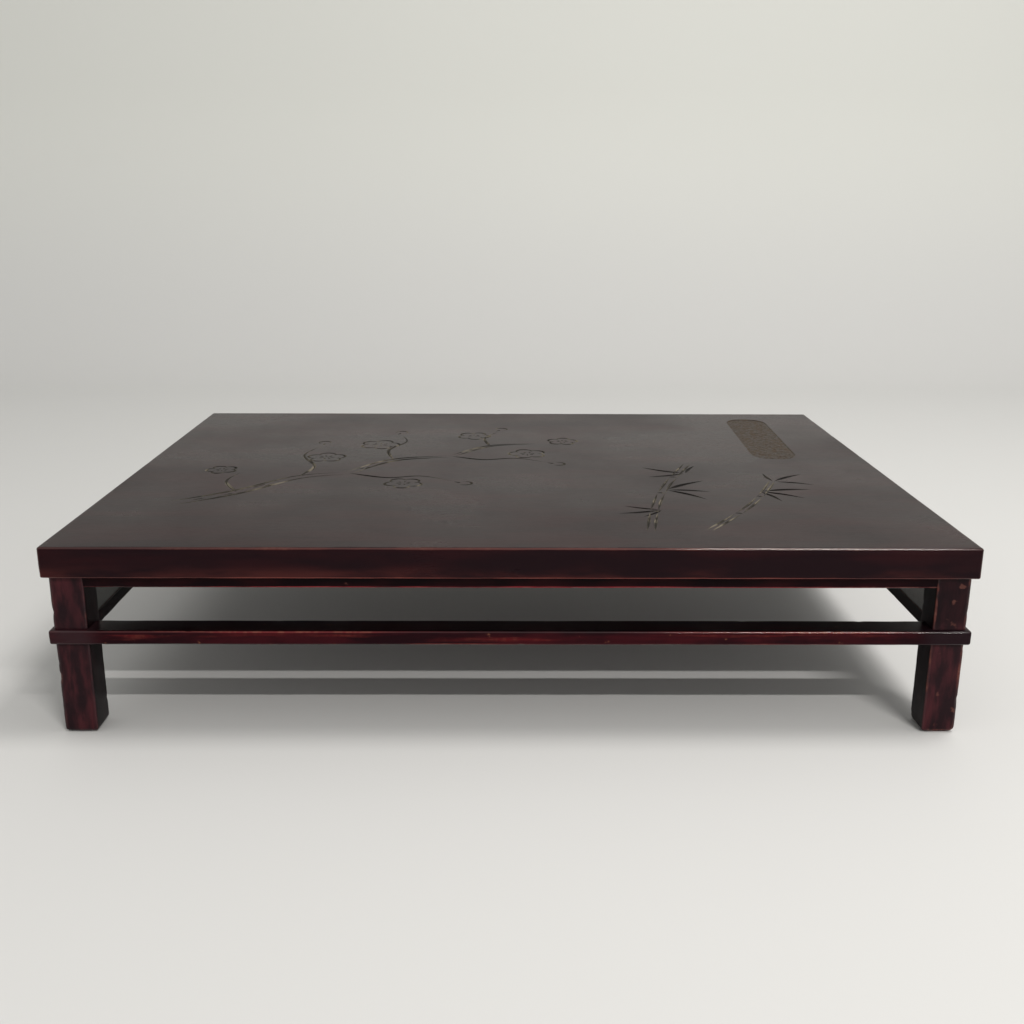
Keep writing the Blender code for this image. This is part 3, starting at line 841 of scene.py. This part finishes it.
# plum branch across the left half: an old stem drawn by its two edges, twigs, flowers and buds
plum = {
    "stem": [(-196, -96), (-164, -70), (-134, -34), (-104, -22), (-78, 14), (-40, 26), (-14, 58), (20, 66)],
    "stemWide": (9.0, 2.0),
    "stemCuts": [(0, 4, 2.4, 0.3), (3, 6, 2.1, 0.5), (5, 8, 1.8, 0.4)],  # points, width and deepest
    "tick": {
        "count": 11, "seed": 5, "wide": 1.2,
        "along": (0.15, 0.85), "aside": (-1.6, 1.6), "long": (5, 9),
    },
    "twigs": [
        [(-134, -34), (-128, -4), (-140, 28), (-132, 60)],
        [(-104, -22), (-78, -34), (-56, -30), (-34, -44)],
        [(-78, 14), (-84, 44), (-74, 72), (-80, 96)],
        [(-40, 26), (-18, 16), (4, 20), (26, 8)],
        [(-14, 58), (-18, 84), (-8, 108)],
        [(-164, -70), (-176, -44), (-172, -20)],
    ],
    "twig": {"wide": 2.0, "deepest": 0.2},
    "flowers": [
        ((-124, 22), 13, 20), ((-66, -48), 12, 50), ((-92, 62), 14, 0), ((12, 34), 13, 35),
        ((-26, 92), 12, 62), ((38, 74), 11, 10), ((-186, -14), 10, 44),
    ],
    "petal": {"count": 5, "at": 0.56, "round": 0.42, "sweep": range(-120, 121, 30), "wide": 1.6},
    "stamen": {"count": 7, "turn": 25, "from": 0.12, "to": 0.44, "lean": 6, "wide": 1.0, "deepest": 0.6},
    "buds": [((-132, 68), 100), ((-28, -48), -20), ((-80, 104), 80), ((32, 4), -15), ((-6, 116), 70)],
    "bud": {"round": 4.2, "sweep": range(-140, 141, 40), "wide": 1.5},
    "stalk": {"from": 2.5, "to": 8.5, "turns": (180, 170), "wide": 1.4, "deepest": 0.3},
}


def drawStem():
    points = [Vector(point) for point in plum["stem"]]
    wideStart, wideEnd = plum["stemWide"]
    for lean in (-1, 1):
        edge = []
        for index, point in enumerate(points):
            share = index / (len(points) - 1)
            before = points[max(index - 1, 0)]
            after = points[min(index + 1, len(points) - 1)]
            across = (after - before).normalized().orthogonal()
            half = (wideStart + (wideEnd - wideStart) * share) / 2
            edge.append(tuple(point + across * half * lean))
        for first, last, wide, deepest in plum["stemCuts"]:
            cut(edge[first:last], wide, "line", deepest)
    tick = plum["tick"]
    draw = random.Random(tick["seed"])
    for _ in range(tick["count"]):
        index = draw.randrange(0, len(points) - 3)
        middle = points[index].lerp(points[index + 1], draw.uniform(*tick["along"]))
        run = (points[index + 1] - points[index]).normalized()
        start = middle + run.orthogonal() * draw.uniform(*tick["aside"])
        cut([tuple(start), tuple(start + run * draw.uniform(*tick["long"]))], tick["wide"], "tick")


def drawFlower(middle, size, turn):
    petal = plum["petal"]
    for index in range(petal["count"]):
        facing = turn + 360 / petal["count"] * index
        heart = polar(middle, size * petal["at"], facing)
        outline = [polar(heart, size * petal["round"], facing + sweep) for sweep in petal["sweep"]]
        cut(outline, petal["wide"])
    stamen = plum["stamen"]
    for index in range(stamen["count"]):
        facing = turn + stamen["turn"] + 360 / stamen["count"] * index
        root = polar(middle, size * stamen["from"], facing)
        tip = polar(middle, size * stamen["to"], facing + stamen["lean"])
        cut([root, tip], stamen["wide"], "tick", stamen["deepest"])


def drawBud(middle, facing):
    bud = plum["bud"]
    cut([polar(middle, bud["round"], facing + sweep) for sweep in bud["sweep"]], bud["wide"])
    stalk = plum["stalk"]
    root = polar(middle, stalk["from"], facing + stalk["turns"][0])
    tip = polar(middle, stalk["to"], facing + stalk["turns"][1])
    cut([root, tip], stalk["wide"], "line", stalk["deepest"])


# bamboo at the front right: two canes with their nodes, and leaves as broad knife cuts
bamboo = {
    "canes": [
        {"from": (74, -152), "to": (118, 6), "bow": 6, "wide": 4.4, "joints": 4},
        {"from": (104, -150), "to": (164, -40), "bow": -5, "wide": 3.4, "joints": 3},
    ],
    "between": (0.02, 0.98),  # from joint to joint
    "waist": 0.86,
    "lineWide": 1.5,
    "ring": (1.5, 0.008),  # reach to either side, and rise
    "leaves": [
        ((94, -63), (40, -46, -10), 36),
        ((112, -22), (148, -160, 66), 32),
        ((150, -66), (8, -34, -70), 34),
        ((164, -42), (40, -20, 96), 30),
        ((86, -108), (196, 158, -132), 28),
    ],
    "leaf": {"wide": 0.085, "from": 0.5, "bow": 5, "shorter": 4, "deepest": 0.38},
}


def drawCane(cane):
    start = Vector(cane["from"])
    run = Vector(cane["to"]) - start
    across = run.normalized().orthogonal()

    def spot(share, lean):
        bow = cane["bow"] * math.sin(math.pi * share)
        return tuple(start + run * share + across * (bow + lean * cane["wide"] / 2))

    joints = cane["joints"]
    wide = bamboo["lineWide"]
    reach, rise = bamboo["ring"]
    for joint in range(joints):
        low, high = [(joint + share) / joints for share in bamboo["between"]]
        for lean in (-1, 1):
            cut([spot(low, lean), spot((low + high) / 2, lean * bamboo["waist"]), spot(high, lean)], wide)
        if joint:
            share = joint / joints
            cut([spot(share, -reach), spot(share + rise, 0), spot(share, reach)], wide, "tick")


def drawLeaf(root, facing, length):
    leaf = bamboo["leaf"]
    start = polar(root, leaf["from"], facing)
    middle = polar(root, length / 2, facing + leaf["bow"])
    cut([start, middle, polar(root, length, facing)], length * leaf["wide"], "leaf", leaf["deepest"])


def drawTop():
    drawStem()
    for twig in plum["twigs"]:
        cut(twig, plum["twig"]["wide"], "line", plum["twig"]["deepest"])
    for flower in plum["flowers"]:
        drawFlower(*flower)
    for bud in plum["buds"]:
        drawBud(*bud)
    for cane in bamboo["canes"]:
        drawCane(cane)
    for root, facings, length in bamboo["leaves"]:
        for index, facing in enumerate(facings):
            drawLeaf(root, facing, length - bamboo["leaf"]["shorter"] * index)


def smoothLine(points):
    # a curve through the points, at even steps
    spots = [Vector(point) * mm for point in points]
    spots = [2 * spots[0] - spots[1]] + spots + [2 * spots[-1] - spots[-2]]
    line = []
    for a, b, c, d in zip(spots, spots[1:], spots[2:], spots[3:]):
        count = max(2, round((c - b).length / carve["spacing"]))
        for index in range(count):
            t = index / count
            curve = b * 2 + (c - a) * t
            curve += (a * 2 - b * 5 + c * 4 - d) * t**2
            curve += (b * 3 - a - c * 3 + d) * t**3
            line.append(curve / 2)
    return line + [spots[-2]]


def addCutter(name, build, material, cutters):
    bmesh.ops.recalc_face_normals(build, faces=build.faces)
    mesh = bpy.data.meshes.new(name)
    build.to_mesh(mesh)
    build.free()
    mesh.materials.append(material)
    cutters.objects.link(bpy.data.objects.new(name, mesh))


def closeRows(build, rows):
    joinRows(build, rows)
    build.faces.new(rows[0])
    build.faces.new(rows[-1])


def strokeCutter(index, stroke, top, cutters):
    points, wide, spread, deepest = stroke
    line = smoothLine(points)
    depth = wide / 2 / spread
    over = carve["over"]
    build = bmesh.new()
    rows = []
    for step, spot in enumerate(line):
        share = step / (len(line) - 1)
        share = share / deepest if share < deepest else (1 - share) / (1 - deepest)
        sink = (depth + carve["lift"]) * math.sin(share * math.pi / 2) - carve["lift"]
        run = line[min(step + 1, len(line) - 1)] - line[max(step - 1, 0)]
        across = run.normalized().orthogonal()
        sole = wide * carve["sole"] * share + carve["leastSole"]
        half = (over + sink) * spread + sole
        row = []
        for reach, height in ((half, over), (-half, over), (-sole, -sink), (sole, -sink)):
            flat = spot + across * reach
            row.append(build.verts.new((flat.x, flat.y, top + height)))
        rows.append(row)
    closeRows(build, rows)
    addCutter(f"stroke{index}", build, cutLine, cutters)


# oblong recess at the back right, left bare, with a punched ground; in mm
recess = {
    "middle": (183.0, 88.0), "size": (29.0, 136.0), "lean": -2.0,
    "round": 16.0, "drawnIn": 0.75,  # how far the rounded ends draw in, over the rounding
    "depth": 0.5, "punch": 0.32, "pitch": 1.15, "slope": 1.4, "seed": 3,
}


def recessCutter(top, cutters):
    wide, long = recess["size"]
    columns = round(wide / recess["pitch"])
    lines = round(long / recess["pitch"])
    turn = Matrix.Rotation(math.radians(recess["lean"]), 2)
    draw = random.Random(recess["seed"])
    build = bmesh.new()
    floor = []
    cover = []
    for line in range(lines + 1):
        along = long * (line / lines - 0.5)
        into = max(0.0, (abs(along) - long / 2 + recess["round"]) / recess["round"])
        half = wide / 2 - recess["round"] * recess["drawnIn"] * (1 - math.sqrt(max(0.0, 1 - into**2)))
        floor.append([])
        cover.append([])
        for column in range(columns + 1):
            across = 2 * column / columns - 1
            spot = (turn @ Vector((across * half, along)) + Vector(recess["middle"])) * mm
            wider = Vector((across * (half + recess["slope"]), along * (1 + 2 * recess["slope"] / long)))
            above = (turn @ wider + Vector(recess["middle"])) * mm
            edge = column in (0, columns) or line in (0, lines)
            sink = recess["depth"] - (0 if edge else draw.uniform(0, recess["punch"]))
            floor[-1].append(build.verts.new((spot.x, spot.y, top - sink * mm)))
            cover[-1].append(build.verts.new((above.x, above.y, top + carve["over"])))
    joinRows(build, floor, False)
    joinRows(build, cover, False)
    rim = [(0, column) for column in range(columns)]
    rim += [(line, columns) for line in range(lines)]
    rim += [(lines, column) for column in range(columns, 0, -1)]
    rim += [(line, 0) for line in range(lines, 0, -1)]
    for (line, column), (toLine, toColumn) in zip(rim, rim[1:] + rim[:1]):
        ends = floor[line][column], floor[toLine][toColumn]
        build.faces.new(ends + (cover[toLine][toColumn], cover[line][column]))
    addCutter("recess", build, punchedGround, cutters)


# dovetail grooves for the battens, open at the back edge
groove = {"neck": 10.0 * mm, "flare": 1.5 * mm, "depth": 5.0 * mm, "beyond": 2.0 * mm}


def grooveCutter(node, low, high, cutters):
    battenLow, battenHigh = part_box(node)
    middle = (battenLow.x + battenHigh.x) / 2
    neck = groove["neck"] / 2 + fitGap
    flared = neck + groove["flare"]
    foot = low.z - groove["beyond"]
    head = low.z + groove["depth"] + fitGap
    profile = [(-neck, foot), (neck, foot), (neck, low.z), (flared, head), (-flared, head), (-neck, low.z)]
    build = bmesh.new()
    rows = []
    for along in (battenLow.y - fitGap, high.y + groove["beyond"]):
        rows.append([build.verts.new((middle + reach, along, height)) for reach, height in profile])
    closeRows(build, rows)
    addCutter("groove_" + node, build, boardLacquer, cutters)


def addBoard():
    low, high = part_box("top_board")
    piece = loft("top_board", boardRings(low, high), boardHand["seed"], boardHand, boardLacquer, True)
    cutters = bpy.data.collections.new("cutters")
    scene.collection.children.link(cutters)
    drawTop()
    for index, stroke in enumerate(strokes):
        strokeCutter(index, stroke, high.z, cutters)
    recessCutter(high.z, cutters)
    for node in ("batten_left", "batten_right"):
        grooveCutter(node, low, high, cutters)
    carving = piece.modifiers.new("carving", "BOOLEAN")
    carving.operation = "DIFFERENCE"
    carving.operand_type = "COLLECTION"
    carving.collection = cutters
    carving.solver = "MANIFOLD"
    carving.material_mode = "TRANSFER"
    shaped = bpy.data.meshes.new_from_object(piece.evaluated_get(bpy.context.evaluated_depsgraph_get()))
    piece.modifiers.clear()
    piece.data = shaped
    for cutter in list(cutters.objects):
        bpy.data.objects.remove(cutter)
    bpy.data.collections.remove(cutters)
    smoothShape(shaped)
    for face in shaped.polygons:
        if abs(face.normal.z) > boardShape["flatFrom"] or face.material_index:
            face.use_smooth = False
    handOver(piece, "top_board")


addBoard()
print("board made, cut lines:", len(strokes))

# battens and loose tenons keep their CAD shape and get their finish
for node in frame["nodes"]:
    if node.startswith("batten") or node.startswith("loose_tenon"):
        finish = battenWood if node.startswith("batten") else looseTenonWood
        shown = bpy.data.objects[node]
        for slot in shown.material_slots:
            slot.material = finish
print("battens and loose tenons finished")

# studio: a pale floor that sweeps up behind, a long strip light, soft air all round
studio = {
    "floorFront": -3.0, "floorWide": 3.2, "backAt": 1.35, "backHigh": 2.4,
    "sweep": 0.45, "sweepSteps": 24,
    "pale": (208, 208, 208), "back": (222, 223, 219),
    "rough": 0.6, "smudges": 0.1, "smudgeScale": 3.0, "sheen": 0.2,
    "air": (232, 231, 227), "airStrength": 0.74,
    "lampColour": (255, 252, 247),
    "lamps": {
        "frontStrip": {
            "place": (0.74, -1.58, 1.52), "aim": (0.74, 0.0, 0.0),
            "size": (0.62, 0.035), "watts": 22.0,
        },
        "overhead": {
            "place": (0.5, -0.06, 1.6), "aim": (0.3, -0.06, 0.0),
            "size": (0.28, 0.28), "watts": 7.5,
        },
        "rightSide": {
            "place": (0.67, -0.25, 1.45), "aim": (0.2, 0.0, 0.0),
            "size": (0.34, 0.1), "watts": 3.0,
        },
    },
}


def addStudio():
    material, tree, shader, spot = newMaterial("studioPaper")
    share = rangeNode(tree, parted(tree, spot)["Z"], 0.0, studio["sweep"])
    colour = mixColour(tree, share, studio["pale"], studio["back"])
    tree.links.new(colour, shader.inputs["Base Color"])
    marks = useGroup(tree, handling, spot, Smudge_Scale=studio["smudgeScale"]).outputs
    addRoughness(tree, shader, studio["rough"], studio, smudges=marks["Smudge"])
    shader.inputs["Specular IOR Level"].default_value = studio["sheen"]
    profile = [(studio["floorFront"], 0.0)]
    bend = studio["sweep"]
    for index in range(studio["sweepSteps"] + 1):
        angle = math.pi / 2 * index / studio["sweepSteps"]
        along = studio["backAt"] - bend + bend * math.sin(angle)
        profile.append((along, bend * (1 - math.cos(angle))))
    profile.append((studio["backAt"], studio["backHigh"]))
    wide = studio["floorWide"]
    verts = [(x, y, z) for x in (-wide, wide) for y, z in profile]
    count = len(profile)
    faces = [(i, i + count, i + count + 1, i + 1) for i in range(count - 1)]
    mesh = bpy.data.meshes.new("studioPaper")
    mesh.from_pydata(verts, [], faces)
    smoothShape(mesh)
    mesh.materials.append(material)
    paper = addObject("studioPaper", mesh)


def addLights():
    for name, lamp in studio["lamps"].items():
        data = bpy.data.lights.new(name, "AREA")
        data.shape = "RECTANGLE"
        data.size, data.size_y = lamp["size"]
        data.energy = lamp["watts"]
        data.color = linear(studio["lampColour"])[:3]
        spot = Vector(lamp["place"])
        shown = addObject(name, data)
        shown.location = spot
        shown.rotation_euler = (Vector(lamp["aim"]) - spot).to_track_quat("-Z", "Y").to_euler()
    world = bpy.data.worlds.new("studioAir")
    world.use_nodes = True
    air = world.node_tree.nodes["Background"]
    air.inputs["Color"].default_value = linear(studio["air"])
    air.inputs["Strength"].default_value = studio["airStrength"]
    scene.world = world
    scene.view_settings.view_transform = "Standard"


addStudio()
addLights()
print("studio set")
